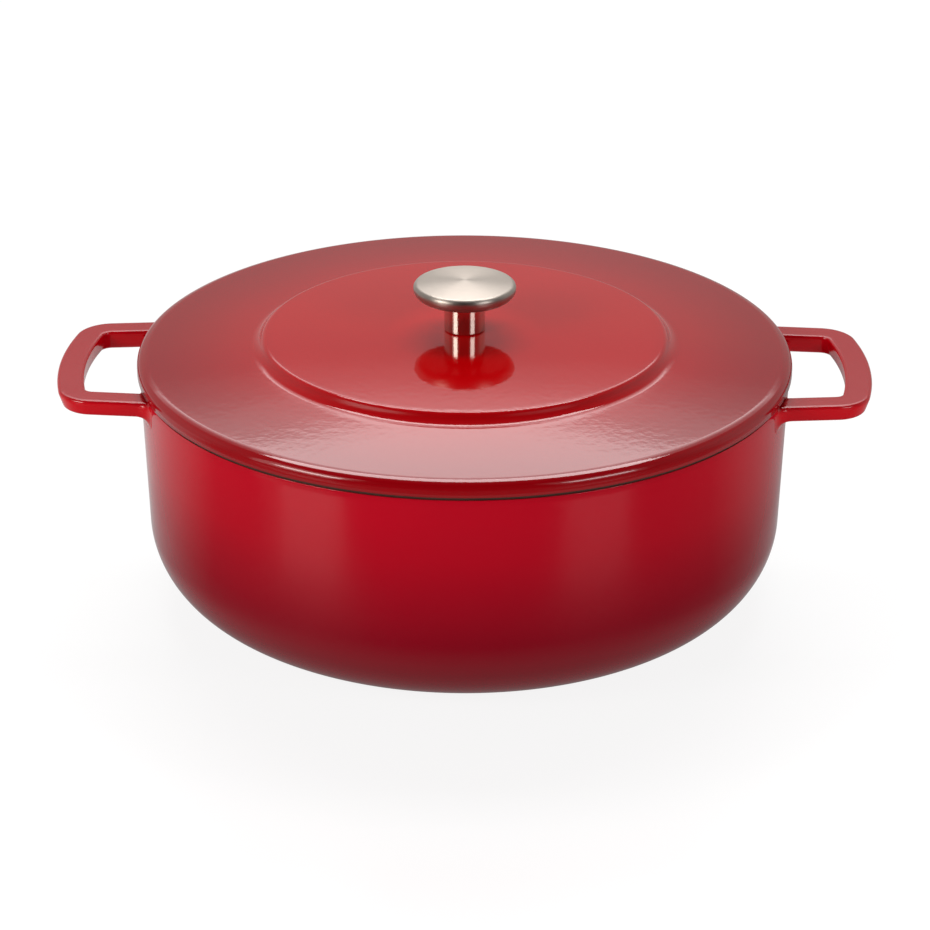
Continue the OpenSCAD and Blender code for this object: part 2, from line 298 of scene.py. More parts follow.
# %% The bar's sizes
# The section: its width, its depth on the inside and the outside, how far each side leans in, and its edges
BAR_W = 11.6 * MM
BAR_IN = 8 * MM
BAR_OUT = 6.8 * MM
LEAN_IN, LEAN_OUT = 0.7 * MM, 2.2 * MM
BAR_EDGE = 1.2 * MM
BAR_TOP = RIM_Z - 1 * MM
# The line: the arms' lean, the handle's width, and the radii of the bow and the bends on their outside
LEAN = math.radians(5)
HANDLE_W = 89.6 * MM
BOW_OUT_R = 148 * MM
BEND_OUT_R = 15.5 * MM
BOW_R = BOW_OUT_R - BAR_W / 2
BEND_R = BEND_OUT_R - BAR_W / 2
print(f"a bar {BAR_W / MM:.1f} mm wide, its top {(RIM_Z - BAR_TOP) / MM:.0f} mm under the rim")

# %% The bar's line
# The rounded edge takes a little off the bow's reach, so the bow is drawn that much further out
EDGE_TRIM = 0.44 * MM
bow_x = HANDLE_TIP + EDGE_TRIM - BOW_OUT_R
arm_y = HANDLE_W / 2 - BAR_W / 2 / math.cos(LEAN)
# The bend touches the arm's line and the bow from inside, which gives a quadratic for its centre
slope = math.tan(LEAN)
line_y = arm_y + slope * RIM_R - BEND_R / math.cos(LEAN)
half_b = bow_x + line_y * slope
square_a = 1 + slope * slope
rest = bow_x ** 2 + line_y ** 2 - (BOW_R - BEND_R) ** 2
bend_x = (half_b + math.sqrt(half_b ** 2 - square_a * rest)) / square_a
bend_y = line_y - slope * bend_x
bow_turn = math.atan2(bend_y, bend_x - bow_x)
print(f"bend centre {bend_x / MM:.1f}, {bend_y / MM:.1f} mm, bow turns {math.degrees(bow_turn):.1f} degrees")

# %% The bar's section
# Its long sides get a point at least this often
SECTION_STEP = 1.2 * MM


def bar_section(points_per_corner=6):
    """The bar's section as (across, height): across is 0 on the bar's middle line and positive outwards. Four
    rounded corners, anticlockwise from the lower inner one. Both sides lean in towards the bottom, as a
    pattern's must."""
    w = BAR_W / 2
    corners = np.array([[LEAN_IN - w, BAR_TOP - BAR_IN], [w - LEAN_OUT, BAR_TOP - BAR_OUT], [w, BAR_TOP],
                        [-w, BAR_TOP]])
    arcs = [arc_corner(corners[i - 1], corners[i], corners[(i + 1) % 4], BAR_EDGE, points_per_corner)
            for i in range(4)]
    return finely(np.vstack(arcs + [arcs[0][:1]]), SECTION_STEP)[:-1]


print("the section has", len(bar_section()), "points")

# %% The root's fillet
# The fillet's radius, its least length, and how deep the tube's closed ends lie in the wall
FILLET = 5.5 * MM
LEAST_FILLET = 0.1 * MM
ROOT_DEPTH = 2 * MM
# The fillet's foot lies this little inside the wall's surface, so no edge of it stands proud
SUNK = 0.02 * MM
# A line counts as going upwards from this share of its direction on
UPWARD = 0.02


def root_rings(section, steps=10):
    """Rings of points from the wall's surface out to the straight arm, for the arm on the +Y side. Line i of
    the arm is c_i + s d, with d along the arm. It meets the wall where its distance from the axis is the
    wall's radius at its height, which is a quadratic for s. From there each line follows the curve
    (1-t)^2 P0 + 2 t (1-t) P1 + t^2 P2. P0 is on the line, P1 is where it meets the wall, and P2 is on the
    wall, moved away from the section. On the wall, lengths are measured in a chart: angle times radius, and
    height. The fillet shrinks where it would climb over the glass's top."""
    d = np.array([math.cos(LEAN), -math.sin(LEAN)])
    side = np.array([math.sin(LEAN), math.cos(LEAN)])
    base = np.array([RIM_R, arm_y]) + section[:, :1] * side
    z = section[:, 1]
    r = wall_r(z)
    b = base @ d
    s = -b + np.sqrt(b * b - (base * base).sum(1) + r * r)
    hit = base + s[:, None] * d
    angle = np.arctan2(hit[:, 1], hit[:, 0])
    chart = np.stack([angle * RIM_R, z], 1)
    along = np.roll(chart, -1, 0) - np.roll(chart, 1, 0)
    away = np.stack([along[:, 1], -along[:, 0]], 1) / np.linalg.norm(along, axis=1)[:, None]
    middle = chart.mean(0)
    away *= np.sign(((chart - middle) * away).sum(1))[:, None]
    room = np.where(away[:, 1] > UPWARD, (GLAZE_TOP - LEAST_FILLET - z) / np.maximum(away[:, 1], UPWARD), 1)
    reach = np.clip(np.minimum(FILLET * (1 - np.clip(away[:, 1], 0, 1)), room), LEAST_FILLET, FILLET)
    goal = chart + reach[:, None] * away
    goal_r = wall_r(goal[:, 1]) - SUNK
    goal_a = goal[:, 0] / RIM_R
    p2 = np.column_stack([goal_r * np.cos(goal_a), goal_r * np.sin(goal_a), goal[:, 1]])
    p1 = np.column_stack([hit, z])
    p0 = np.column_stack([hit + reach[:, None] * d, z])
    t = np.linspace(1, 0, steps)[:, None, None]
    curve = (1 - t) ** 2 * p0 + 2 * t * (1 - t) * p1 + t ** 2 * p2
    inward = 1 - ROOT_DEPTH / RIM_R
    inner = p2 * np.array([inward, inward, 1])
    return np.concatenate([inner[None], curve])


print("rings and points of a root:", root_rings(bar_section()).shape[:2])

# %% The whole bar
# The straight arm's first ring stands this far from the fillet's last
ROOT_GAP = 0.3 * MM
# Rings along one arm, one bend and half the bow, the shared ones counted twice
ARM_RINGS, BEND_RINGS, BOW_RINGS = 7, 20, 14


def bar_ring(x, y, angle, section):
    """The section stood across the line at (x, y), where angle is the direction of its outer side."""
    across, z = section.T
    return np.column_stack([x + across * math.cos(angle), y + across * math.sin(angle), z])


def handle_points(section):
    """All rings of one handle, from the root on the +Y side round to the one on the -Y side. The second half
    is the first one mirrored in the plane y = 0."""
    root = root_rings(section)
    arm_end = bend_x + BEND_R * math.sin(LEAN)
    start = root[-1][:, 0].max() + ROOT_GAP
    arm = [bar_ring(x, arm_y - slope * (x - RIM_R), math.pi / 2 - LEAN, section)
           for x in np.linspace(start, arm_end, ARM_RINGS)[:-1]]
    bend = [bar_ring(bend_x + BEND_R * math.cos(a), bend_y + BEND_R * math.sin(a), a, section)
            for a in np.linspace(math.pi / 2 - LEAN, bow_turn, BEND_RINGS)]
    bow = [bar_ring(bow_x + BOW_R * math.cos(a), BOW_R * math.sin(a), a, section)
           for a in np.linspace(bow_turn, 0, BOW_RINGS)[1:]]
    half = np.concatenate([root, np.array(arm + bend + bow)])
    return np.concatenate([half, half[-2::-1] * np.array([1, -1, 1])])


def handle_piece(name, half_turn=False):
    """The rings joined into a tube, closed at both ends inside the wall's thickness. The left handle is the
    right one turned half way round the pot's axis."""
    section = bar_section()
    rings = handle_points(section)
    if half_turn:
        rings = rings * np.array([-1, -1, 1])
    count, n = rings.shape[:2]
    i = np.arange(count - 1)[:, None] * n
    j = np.arange(n)[None, :]
    k = (j + 1) % n
    sides = np.stack([i + j, i + j + n, i + k + n, i + k], 2).reshape(-1, 4).tolist()
    ends = [list(range(n)), list(range(count * n - 1, (count - 1) * n - 1, -1))]
    return mesh_piece(name, rings.reshape(-1, 3), sides + ends, "pot", "red_enamel", "pot_outer_enamel")


right_handle = handle_piece("right_handle")
left_handle = handle_piece("left_handle", half_turn=True)

# %% [markdown]
# ## The lid
#
# From the edge the lid climbs a low shoulder, then a 4 mm step, and then a disc that is very slightly domed
# towards the knob. Underneath it has a lip that keeps it centred, and three rings from which steam drips back
# on the food. The glass stops at the edge of the seat, so the lid rests iron on iron.

# %% Lid sizes
# The lid's upper edge rolls over through two roundings, from the side to the slope and from the slope to the
# shoulder. The slope falls by 19 degrees, and BROW_W is how far in it starts
EDGE_ROLL, BROW_ROLL = 3.5 * MM, 6 * MM
BROW_W = 4 * MM
BROW_FALL = math.tan(math.radians(19))
# The step's roundings, at its foot and at the disc's edge
STEP_FOOT_R, STEP_TOP_R = 5.8 * MM, 2.6 * MM
# Underneath: where the drip rings stand, how high they are, and the roundings
DRIP_RADII = [24 * MM, 42 * MM, 60 * MM]
DRIP_H = 1.8 * MM
UNDER_ROLL = 2 * MM
LIP_ROLL = 1 * MM
# The iron's corner at the seat is broken by this much
SEAT_EDGE = 0.3 * MM
# How much the shoulder rises for each unit of radius
shoulder_rise = (SHOULDER_Z - EDGE_Z) / (LID_R - DISC_R - STEP_RUN)
print(f"the shoulder climbs at {math.degrees(math.atan(shoulder_rise)):.1f} degrees")

# %% Lid profiles
def dome_points(count=14):
    """The disc from its edge in to the knob's seat. Its height falls with the square of the radius, from the
    seat's edge to the disc's edge."""
    r = np.linspace(DISC_R, SEAT_R, count)[1:]
    fallen = (r * r - SEAT_R ** 2) / (DISC_R ** 2 - SEAT_R ** 2)
    return np.column_stack([r, KNOB_Z - (KNOB_Z - DISC_Z) * fallen])


def under_z(r):
    """Height of the plate's underside outside the disc, parallel to the shoulder above it."""
    return EDGE_Z - PLATE + shoulder_rise * (LID_R - r)


def drip_ring(r, h=DRIP_H):
    """Corners of one ring under the disc: up its outer flank, over its crest and down its inner flank."""
    return [(r - 1.5 * h, CEILING_Z, h / 2), (r - 0.5 * h, CEILING_Z - h, h / 2),
            (r + 0.5 * h, CEILING_Z - h, h / 2), (r + 1.5 * h, CEILING_Z, h / 2)]


# The profiles' longest stretches
TOP_STEP, UNDER_STEP = 4 * MM, 6 * MM
brow_z = EDGE_Z + BROW_W * shoulder_rise
lid_top = rounded([(LID_R, RIM_Z + BARE, 0),
                   (LID_R, brow_z - BROW_W * BROW_FALL, EDGE_ROLL),
                   (LID_R - BROW_W, brow_z, BROW_ROLL),
                   (DISC_R + STEP_RUN, SHOULDER_Z, STEP_FOOT_R),
                   (DISC_R, DISC_Z, STEP_TOP_R)]
                  + [(r, z, 0) for r, z in dome_points()] + [(HOLE_R, KNOB_Z, 0)], steps=18)
lid_top = finely(lid_top, TOP_STEP)
step_r, lip_in = DISC_R - PLATE, LIP_R - LIP_W
lid_under = rounded([(HOLE_R, CEILING_Z, 0)] + [corner for r in DRIP_RADII for corner in drip_ring(r)]
                    + [(step_r, CEILING_Z, UNDER_ROLL),
                       (step_r + STEP_RUN, under_z(step_r + STEP_RUN), UNDER_ROLL),
                       (lip_in, under_z(lip_in), UNDER_ROLL),
                       (lip_in, LIP_Z, LIP_ROLL), (LIP_R, LIP_Z, LIP_ROLL), (LIP_R, RIM_Z, 0)])
lid_under = finely(lid_under, UNDER_STEP)
print("points on the lid's top and underside:", len(lid_top), len(lid_under))

# %% The lid's three pieces
# The lid's top has the widest highlights, so it is turned in finer steps
LID_COUNT = 360
lid_glaze = mesh_piece("lid_glaze", *turned(shell(lid_top), LID_COUNT), "lid", "red_enamel",
                       "lid_outer_enamel")
lid_lining = mesh_piece("lid_lining", *turned(shell(lid_under)), "lid", "pale_enamel", "lid_inner_enamel")
iron_r = LID_R - GLAZE
lid_core = np.vstack([offset(lid_under, GLAZE),
                      [[iron_r - SEAT_EDGE, RIM_Z], [iron_r, RIM_Z + SEAT_EDGE]],
                      offset(lid_top, GLAZE)])
lid_iron = mesh_piece("lid_iron", *turned(lid_core), "lid", "bare_iron", "lid_casting")

# %% [markdown]
# ## The knob
#
# The knob is turned from stainless steel in two parts: a polished stem, and a cap that is pressed on its
# spigot. The crown of the cap is a very flat dome, as a flat pad leaves it. It turns into the side through a
# small round shoulder, and below its widest line the side is one quarter of a circle. Two cylinders with
# bevels would look much the same from afar, but brushed steel shows every change of slope as a change of
# light.

# %% Cap
CAP_WIDEST = KNOB_Z + 18.4 * MM
# Two roundings that met exactly would leave a stretch of no length, so the lower one is this much smaller
HAIR = 0.02 * MM
# The crown's rise over the whole cap, the shoulder's radius, and how far from the edge the shoulder starts
CROWN_RISE = 1.6 * MM
CAP_ROUND = 2.1 * MM
CROWN_INSET = 2.2 * MM
# The stem's spigot, on which the cap is pressed, and how deep it goes in
SPIGOT_R = 4.5 * MM
SOCKET_DEPTH = 3.55 * MM
# The longest stretches in the two profiles, and the steps in which both are turned
CAP_STEP, STEM_STEP = 1.5 * MM, 2 * MM
KNOB_COUNT = 192

# The crown falls from its top with the square of the radius
crown_r = np.linspace(CAP_R - CROWN_INSET, 0, 26)
crown = np.column_stack([crown_r, CAP_TOP - CROWN_RISE * (crown_r / CAP_R) ** 2])
cap_side = rounded([(SPIGOT_R, CAP_LOW, 0), (CAP_R, CAP_LOW, CAP_WIDEST - CAP_LOW - HAIR),
                    (CAP_R, CAP_TOP - CROWN_RISE, CAP_ROUND), (*crown[0], 0)], steps=20)
cap_roof = CAP_LOW + SOCKET_DEPTH
cap_shape = finely(np.vstack([cap_side[:-1], crown, [[0, cap_roof], [SPIGOT_R, cap_roof]]]), CAP_STEP)
knob_button = mesh_piece("knob_button", *turned(cap_shape, KNOB_COUNT), "lid", "brushed_steel", "knob_cap")

# %% Stem
STEM_EDGE = 0.7 * MM
SPIGOT_PLAY = 0.05 * MM
spigot = SPIGOT_R - SPIGOT_PLAY
spigot_top = cap_roof - SPIGOT_PLAY
stem_side = rounded([(0, KNOB_Z, 0), (STEM_R, KNOB_Z, STEM_EDGE), (STEM_R, CAP_LOW, 0), (spigot, CAP_LOW, 0),
                     (spigot, spigot_top, 0), (0, spigot_top, 0)], steps=8)
stem_shape = finely(stem_side, STEM_STEP)
knob_post = mesh_piece("knob_post", *turned(stem_shape, KNOB_COUNT), "lid", "polished_steel", "knob_stem")

# %% [markdown]
# ## Shader maths
#
# A finish is a small net of nodes. Placing each node by hand hides what it computes, so one class wraps a
# socket and lets Python's own operators add the Math nodes, and one method adds any other node.

# %% A wire
class Wire:
    """An output socket. Arithmetic on it adds Math nodes to its tree and gives the next wire."""

    def __init__(self, sheet, socket):
        self.sheet, self.socket = sheet, socket

    def math(self, operation, other=None, swap=False):
        """A Math node on this wire alone, or on it and another value, the other first if swap is set."""
        pair = [self, other] if other is not None else [self]
        if swap:
            pair.reverse()
        return self.sheet.node("ShaderNodeMath", {"operation": operation}, dict(enumerate(pair)))

    def __add__(self, other): return self.math("ADD", other)
    def __radd__(self, other): return self.math("ADD", other, True)
    def __sub__(self, other): return self.math("SUBTRACT", other)
    def __rsub__(self, other): return self.math("SUBTRACT", other, True)
    def __mul__(self, other): return self.math("MULTIPLY", other)
    def __rmul__(self, other): return self.math("MULTIPLY", other, True)
    def __truediv__(self, other): return self.math("DIVIDE", other)
    def __pow__(self, other): return self.math("POWER", other)


# %% A sheet to draw on
class Sheet:
    """The node tree of a material or of the world, emptied, with the calls that fill it."""

    def __init__(self, owner):
        owner.use_nodes = True
        self.tree = owner.node_tree
        self.tree.nodes.clear()

    def node(self, kind, settings=None, sockets=None, out=0):
        """Adds a node: its settings first, a colour ramp's stops among them, then its sockets, each a wire or
        a value. Gives the wire of the output asked for."""
        made = self.tree.nodes.new(kind)
        for key, value in (settings or {}).items():
            if key == "stops":
                ramp = made.color_ramp
                while len(ramp.elements) > 1:
                    ramp.elements.remove(ramp.elements[-1])
                ramp.elements[0].position, ramp.elements[0].color = value[0][0], (*value[0][1], 1)
                for place, colour in value[1:]:
                    ramp.elements.new(place).color = (*colour, 1)
            else:
                setattr(made, key, value)
        for key, value in (sockets or {}).items():
            if isinstance(value, Wire):
                self.tree.links.new(value.socket, made.inputs[key])
            elif isinstance(value, tuple) and len(value) == 3 and made.inputs[key].type == "RGBA":
                made.inputs[key].default_value = (*value, 1)
            else:
                made.inputs[key].default_value = value
        return Wire(self, made.outputs[out]) if made.outputs else made

    def place(self):
        """The point on the piece, in metres, as one wire."""
        return self.node("ShaderNodeTexCoord", out="Object")

    def split(self, vector):
        """The three parts x, y and z of a vector, each a wire."""
        parts = self.node("ShaderNodeSeparateXYZ", None, {0: vector}).socket.node
        return [Wire(self, out) for out in parts.outputs]

    def blend(self, factor, a, b):
        """Colour a where factor is 0 and b where it is 1."""
        return self.node("ShaderNodeMix", {"data_type": "RGBA"}, {0: factor, 6: a, 7: b}, 2)

    def ramp(self, value, stops):
        """A colour read off a ramp at value. A stop is (position, colour), and a plain number is a grey."""
        full = [(at, colour if isinstance(colour, tuple) else (colour,) * 3) for at, colour in stops]
        return self.node("ShaderNodeValToRGB", {"stops": full}, {0: value})

    def noise(self, point, scale, detail=2.0, rough=0.5):
        """Cloudy noise between 0 and 1, scale lumps to the metre."""
        return self.node("ShaderNodeTexNoise", None,
                         {"Vector": point, "Scale": scale, "Detail": detail, "Roughness": rough})

    def bump(self, height, distance, normal=None):
        """A normal tilted as if the surface rose by height times distance, on top of the normal given."""
        sockets = {"Height": height, "Distance": distance}
        if normal is not None:
            sockets["Normal"] = normal
        return self.node("ShaderNodeBump", None, sockets)

    def finish(self, **sockets):
        """The surface shader, wired to the output. Keywords are socket names, with _ for a space."""
        named = {key.replace("_", " "): value for key, value in sockets.items()}
        shader = self.node("ShaderNodeBsdfPrincipled", None, named)
        self.node("ShaderNodeOutputMaterial", None, {0: shader})


def material(name):
    """A new material and the sheet that its finish is drawn on."""
    made = bpy.data.materials.new(name)
    return made, Sheet(made)


def from_axis(x, y):
    """Distance from the Z axis."""
    return (x * x + y * y) ** 0.5


# %% [markdown]
# ## Red enamel
#
# The red is ground glass, sprayed on in two coats and fused at 800 degrees. Its colour here also holds
# painted
# light and shade: it is painted deeper towards the lid's edge and the base, brighter round the knob, where
# the knob's shadow falls, and lighter on the handles' sides than on their top and underside. Molten glass
# never
# lies quite flat: it keeps a shallow ripple and a finer orange peel, which show only where the edge of
# something bright is mirrored in it. It draws thin over sharp turns and is duller there. The colour could be
# painted on an image, but ramps over height and radius paint the same light and shade.

# %% Red enamel
# The glass's reflections are a trace pink
SHEEN = (1.0, 0.92, 0.92)


def red_enamel(name, red_with_painted_light, roughness=0.07, ripple=1.0, thin=None):
    """Glossy red glass. shade(sheet, x, y, z) gives its red at a point, with painted light and shade in it.
    thin(sheet, x, y, z) is 1 where the melted glass has drawn thin, over an edge or down a step, and has lost
    some of its gloss. ripple is how strongly its surface waves."""
    made, sheet = material(name)
    point = sheet.place()
    x, y, z = sheet.split(point)
    cloud = sheet.noise(point, 26, 3)
    # The red from shade(...) holds painted light and shade, and the cloud varies it at random
    colour = sheet.blend(cloud * 0.14, red_with_painted_light(sheet, x, y, z), (0.12, 0.0, 0.003))
    long_wave = sheet.noise(point, 42, 1.5)
    orange_peel = sheet.noise(point, 330, 1.5)
    normal = sheet.bump(long_wave, 0.022 * MM * ripple)
    normal = sheet.bump(orange_peel, 0.020 * MM * ripple, normal)
    dulled = roughness + 0.03 * sheet.noise(point, 90)
    if thin:
        dulled = dulled + 0.14 * thin(sheet, x, y, z)
    sheet.finish(Base_Color=colour, Roughness=dulled, IOR=1.5, Specular_Tint=SHEEN, Normal=normal)
    return made


def wall_red_painted_shade(sheet, x, y, z):
    """Red of the pot with painted shade: bright at the top of the wall, painted deeper towards the base."""
    return sheet.ramp(z / RIM_Z, [(0.0, (0.20, 0.001, 0.006)), (0.2, (0.18, 0.0, 0.006)),
                                  (0.36, (0.23, 0.0, 0.008)), (0.54, (0.32, 0.0, 0.009)),
                                  (0.72, (0.42, 0.0, 0.010)), (0.9, (0.47, 0.0, 0.011))])


def lid_red_painted_light_and_shade(sheet, x, y, z):
    """Red of the lid with painted light and shade: painted deeper towards the edge, brighter towards the
    step, and brightest round the knob, as painted light where the knob's shadow falls.
    """
    return sheet.ramp(from_axis(x, y) / LID_R,
                      [(0.0, (0.66, 0.0, 0.001)), (0.10, (0.60, 0.0, 0.001)), (0.24, (0.47, 0.0, 0.001)),
                       (0.58, (0.47, 0.0, 0.002)), (0.68, (0.40, 0.0, 0.003)), (0.80, (0.33, 0.0, 0.003)),
                       (0.92, (0.28, 0.0, 0.003)), (0.975, (0.28, 0.0, 0.003)), (1.0, (0.29, 0.0, 0.003))])


def bar_red_painted_light_and_shade(sheet, x, y, z):
    """Red of the handles with painted light and shade: lighter on the sides, and painted deeper underneath
    and on the flat top.
    """
    return sheet.ramp((z - (BAR_TOP - BAR_IN)) / BAR_IN,
                      [(0.0, (0.44, 0.0, 0.006)), (0.4, (0.56, 0.0, 0.007)),
                       (0.88, (0.56, 0.0, 0.006)), (1.0, (0.38, 0.0, 0.004))])


def lid_thin(sheet, x, y, z):
    """1 on the steep part of the step, 0.4 on the outermost edge of the lid, and 0 elsewhere."""
    return sheet.ramp(from_axis(x, y) / LID_R, [(0.612, 0), (0.620, 1), (0.630, 1), (0.638, 0),
                                                (0.988, 0), (0.996, 0.4)])


wall_red = red_enamel("wall_red", wall_red_painted_shade, ripple=0.6)
lid_red = red_enamel("lid_red", lid_red_painted_light_and_shade, roughness=0.04, thin=lid_thin)
bar_red = red_enamel("bar_red", bar_red_painted_light_and_shade, roughness=0.15)
print("three reds:", wall_red.name, lid_red.name, bar_red.name)

# %% [markdown]
# ## Pale lining, bare iron
#
# The lining is a cream glass with the faint specks of its clay. Bare iron keeps the grain of the sand mould
# and is oiled nearly black, so it is dark, rough and hardly metallic to the eye.

# %% Lining and iron
cream, sheet = material("cream_lining")
point = sheet.place()
specks = sheet.ramp(sheet.noise(point, 900, 1), [(0.66, 0), (0.72, 1)])
tone = sheet.blend(sheet.noise(point, 18, 3), (0.80, 0.72, 0.56), (0.72, 0.63, 0.47))
normal = sheet.bump(sheet.noise(point, 55, 1.5), 0.14 * MM)
normal = sheet.bump(sheet.noise(point, 260, 2), 0.012 * MM, normal)
sheet.finish(Base_Color=sheet.blend(specks * 0.35, tone, (0.42, 0.32, 0.2)),
             Roughness=0.12 + 0.05 * sheet.noise(point, 70), IOR=1.5, Normal=normal)

iron, sheet = material("oiled_iron")
point = sheet.place()
grain = sheet.noise(point, 1400, 4, 0.7)
patch = sheet.noise(point, 60, 3)
sheet.finish(Base_Color=sheet.blend(patch, (0.050, 0.014, 0.009), (0.085, 0.028, 0.018)),
             Roughness=0.5 + 0.25 * grain, IOR=1.33, Normal=sheet.bump(grain, 0.05 * MM))
print("nodes in the lining and the iron:", [len(m.node_tree.nodes) for m in (cream, iron)])

# %% [markdown]
# ## Steel
#
# The cap was brushed on the lathe: a pad held against it left grooves that run round it, so light spreads
# across them. Real grooves are far finer than the mesh, and noise stretched round the axis gives them. The
# stem is polished and keeps only a trace of the same lines.

# %% Turned steel
# Lumps of noise to the metre across the grooves, and along them on X and Y
LINES, ALONG_X, ALONG_Y = 9000, 40, 24


def turned_steel(name, colour, roughness, groove, spread, streak=0.1, drawn=0.0):
    """Steel finished on a lathe. The pattern reads radius and height but hardly the angle, so its lines run
    round. groove is their depth in mm, spread and streak are how much the gloss and the colour change from
    line to line, and drawn is how far highlights are drawn out across the lines."""
    made, sheet = material(name)
    point = sheet.place()
    x, y, z = sheet.split(point)
    lines = sheet.node("ShaderNodeCombineXYZ", None,
                       {0: from_axis(x, y) * LINES, 1: z * LINES, 2: x * ALONG_X + y * ALONG_Y})
    fine = sheet.noise(lines, 1.0, 2.0, 0.6)
    broad = sheet.noise(point, 240, 3, 0.6)
    dark = tuple(c * 0.8 for c in colour)
    sheet.finish(Base_Color=sheet.blend(fine * streak + broad * 0.25, colour, dark), Metallic=1.0,
                 Roughness=roughness + spread * (fine - 0.5) + 0.06 * broad,
                 Anisotropic=drawn, Anisotropic_Rotation=0.25, Normal=sheet.bump(fine, groove * MM))
    return made


brushed = turned_steel("brushed_cap", (0.43, 0.375, 0.33), roughness=0.37, groove=0.003, spread=0.10,
                       streak=0.4, drawn=0.6)
polished = turned_steel("polished_stem", (0.64, 0.56, 0.49), roughness=0.13, groove=0.0006, spread=0.04,
                        drawn=0.4)
zinc = turned_steel("zinc_plate", (0.62, 0.63, 0.64), roughness=0.32, groove=0.001, spread=0.08)
print("three steels:", brushed.name, polished.name, zinc.name)

# %% Silicone
silicone, sheet = material("grey_silicone")
point = sheet.place()
grey = sheet.blend(sheet.noise(point, 400, 2), (0.055, 0.055, 0.06), (0.075, 0.075, 0.08))
sheet.finish(Base_Color=grey, Roughness=0.6 + 0.15 * sheet.noise(point, 700),
             Normal=sheet.bump(sheet.noise(point, 1800, 2), 0.01 * MM))

# %% Finishes on the pieces
def coat(material_used, *pieces):
    """Puts one material on each piece."""
    for piece in pieces:
        piece.data.materials.clear()
        piece.data.materials.append(material_used)


coat(wall_red, pot_glaze)
coat(bar_red, right_handle, left_handle)
coat(lid_red, lid_glaze)
coat(cream, pot_lining, lid_lining)
coat(iron, pot_iron, lid_iron)
coat(brushed, knob_button)
coat(polished, knob_post)
fastening = {"seal_washer": silicone, "flat_washer": zinc, "lock_washer": zinc, "knob_screw": zinc}
for node, used in fastening.items():
    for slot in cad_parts[node].material_slots:
        slot.material = used
print("materials", sorted(m.name for m in bpy.data.materials if m.users))

# %% [markdown]
# ## The floor
#
# Glossy glass shows its surroundings more than its own colour, so the studio is part of the finish. The floor
# is a pale sheet of acrylic, slightly glossy, and it glows a little, as a sheet lit from below does. A white
# floor lit only by lamps would need so much light that the oven burnt out, so the glow has a strength of its
# own for what the camera sees, for what the oven mirrors, and for the light that it scatters. Close to the
# pot, where the pot shades it, the sheet glows less, and its mirror image is more blurred.

# %% Floor
def stage_plane(name, corners):
    """A flat plane that isn't part of the object, from its four corners."""
    mesh = bpy.data.meshes.new(name)
    mesh.from_pydata([tuple(c) for c in corners], [], [tuple(range(4))])
    plane = bpy.data.objects.new(name, mesh)
    bpy.context.scene.collection.objects.link(plane)
    plane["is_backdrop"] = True
    return plane


# Half the floor's side, and how far the floor lies under the foot ring
FLOOR, GAP = 12.0, 1e-5
floor = stage_plane("floor", [(-FLOOR, -FLOOR, -GAP), (FLOOR, -FLOOR, -GAP), (FLOOR, FLOOR, -GAP),
                              (-FLOOR, FLOOR, -GAP)])
print(f"floor {2 * FLOOR:.0f} m square")

# %% The floor's glow
acrylic, sheet = material("pale_acrylic")
x, y, z = sheet.split(sheet.place())
spread = from_axis(x, y)
# Less light under the pot and close to it, and a little more of what the pot mirrors right at its foot
lit = sheet.ramp(spread, [(0.10, 0.3), (0.14, 0.55), (0.19, 1)])
near = sheet.ramp(spread, [(0.10, 0.22), (0.145, 0.22), (0.19, 0)])
# What the oven mirrors is brighter towards the back and the left
to_back = sheet.ramp(y + 0.5, [(0.43, 0.02), (0.5, 0.42), (0.6, 0.72)])
to_right = sheet.ramp(x + 0.5, [(0.42, 0.64), (0.58, 0.33)])
direct = sheet.node("ShaderNodeLightPath", out="Is Camera Ray")
mirrored = sheet.node("ShaderNodeLightPath", out="Is Glossy Ray")
mirrored = mirrored.math("MAXIMUM", sheet.node("ShaderNodeLightPath", out="Is Transmission Ray"))
scattered = (1.0 - direct) * (1.0 - mirrored)
# The glow that the camera sees, then the one that the oven mirrors, then the light that it scatters
strength = direct * 0.88 + mirrored * (lit * to_back * to_right + near) + scattered * (0.28 + 0.76 * lit)
glow = sheet.node("ShaderNodeEmission", None, {"Color": (1.0, 1.0, 1.0), "Strength": strength})
# The oven's mirror image in the floor is more blurred close to its foot
soft = sheet.ramp(spread, [(0.19, 0.60), (0.24, 0.34), (0.30, 0.24)])
gloss = sheet.node("ShaderNodeBsdfPrincipled", None,
                   {"Base Color": (0.07, 0.07, 0.07), "Roughness": soft, "IOR": 1.48})
both = sheet.node("ShaderNodeAddShader", None, {0: glow, 1: gloss})
sheet.node("ShaderNodeOutputMaterial", None, {0: both})
floor.data.materials.append(acrylic)
print("nodes in the floor's material:", len(acrylic.node_tree.nodes))

# %% [markdown]
# ## The room
#
# The room is the world: pale behind the oven, dim in front, where a person with a camera stands, and darker
# overhead. An image of a real room would do the same with far more detail, but a ramp over the direction
# keeps the long highlights on the glass quiet. The camera itself sees plain white.

# %% World
world = bpy.data.worlds.new("studio")
bpy.context.scene.world = world
sheet = Sheet(world)
across, depth, height = sheet.split(sheet.node("ShaderNodeTexCoord", out="Generated"))
# 0 on this ramp is the front of the room and 1 is the back
room = sheet.ramp(depth * 0.5 + 0.5, [(0.25, 0.03), (0.45, 0.22), (0.62, 0.50), (1.0, (0.52, 0.515, 0.50))])
camera_ray = sheet.node("ShaderNodeLightPath", out="Is Camera Ray")
overhead = sheet.ramp(height, [(0.5, 0), (0.85, 1)])
sky = sheet.blend(camera_ray, sheet.blend(overhead * 0.75, room, (0, 0, 0)), (1.0, 1.0, 1.0))
sheet.node("ShaderNodeOutputWorld", None, {0: sheet.node("ShaderNodeBackground", None, {0: sky, 1: 1.0})})
print("nodes in the world:", len(world.node_tree.nodes))

# %% [markdown]
# ## The lamps
#
# Two small, bright soft boxes stand in front, to the left and the right, and give the two pale bands on the
# wall and the two lines on the knob's stem. Each has a large, dim one at its place, which fills the shadows.
# One long box hangs behind and above, and gives the thin lines along the lid's edge and its step.

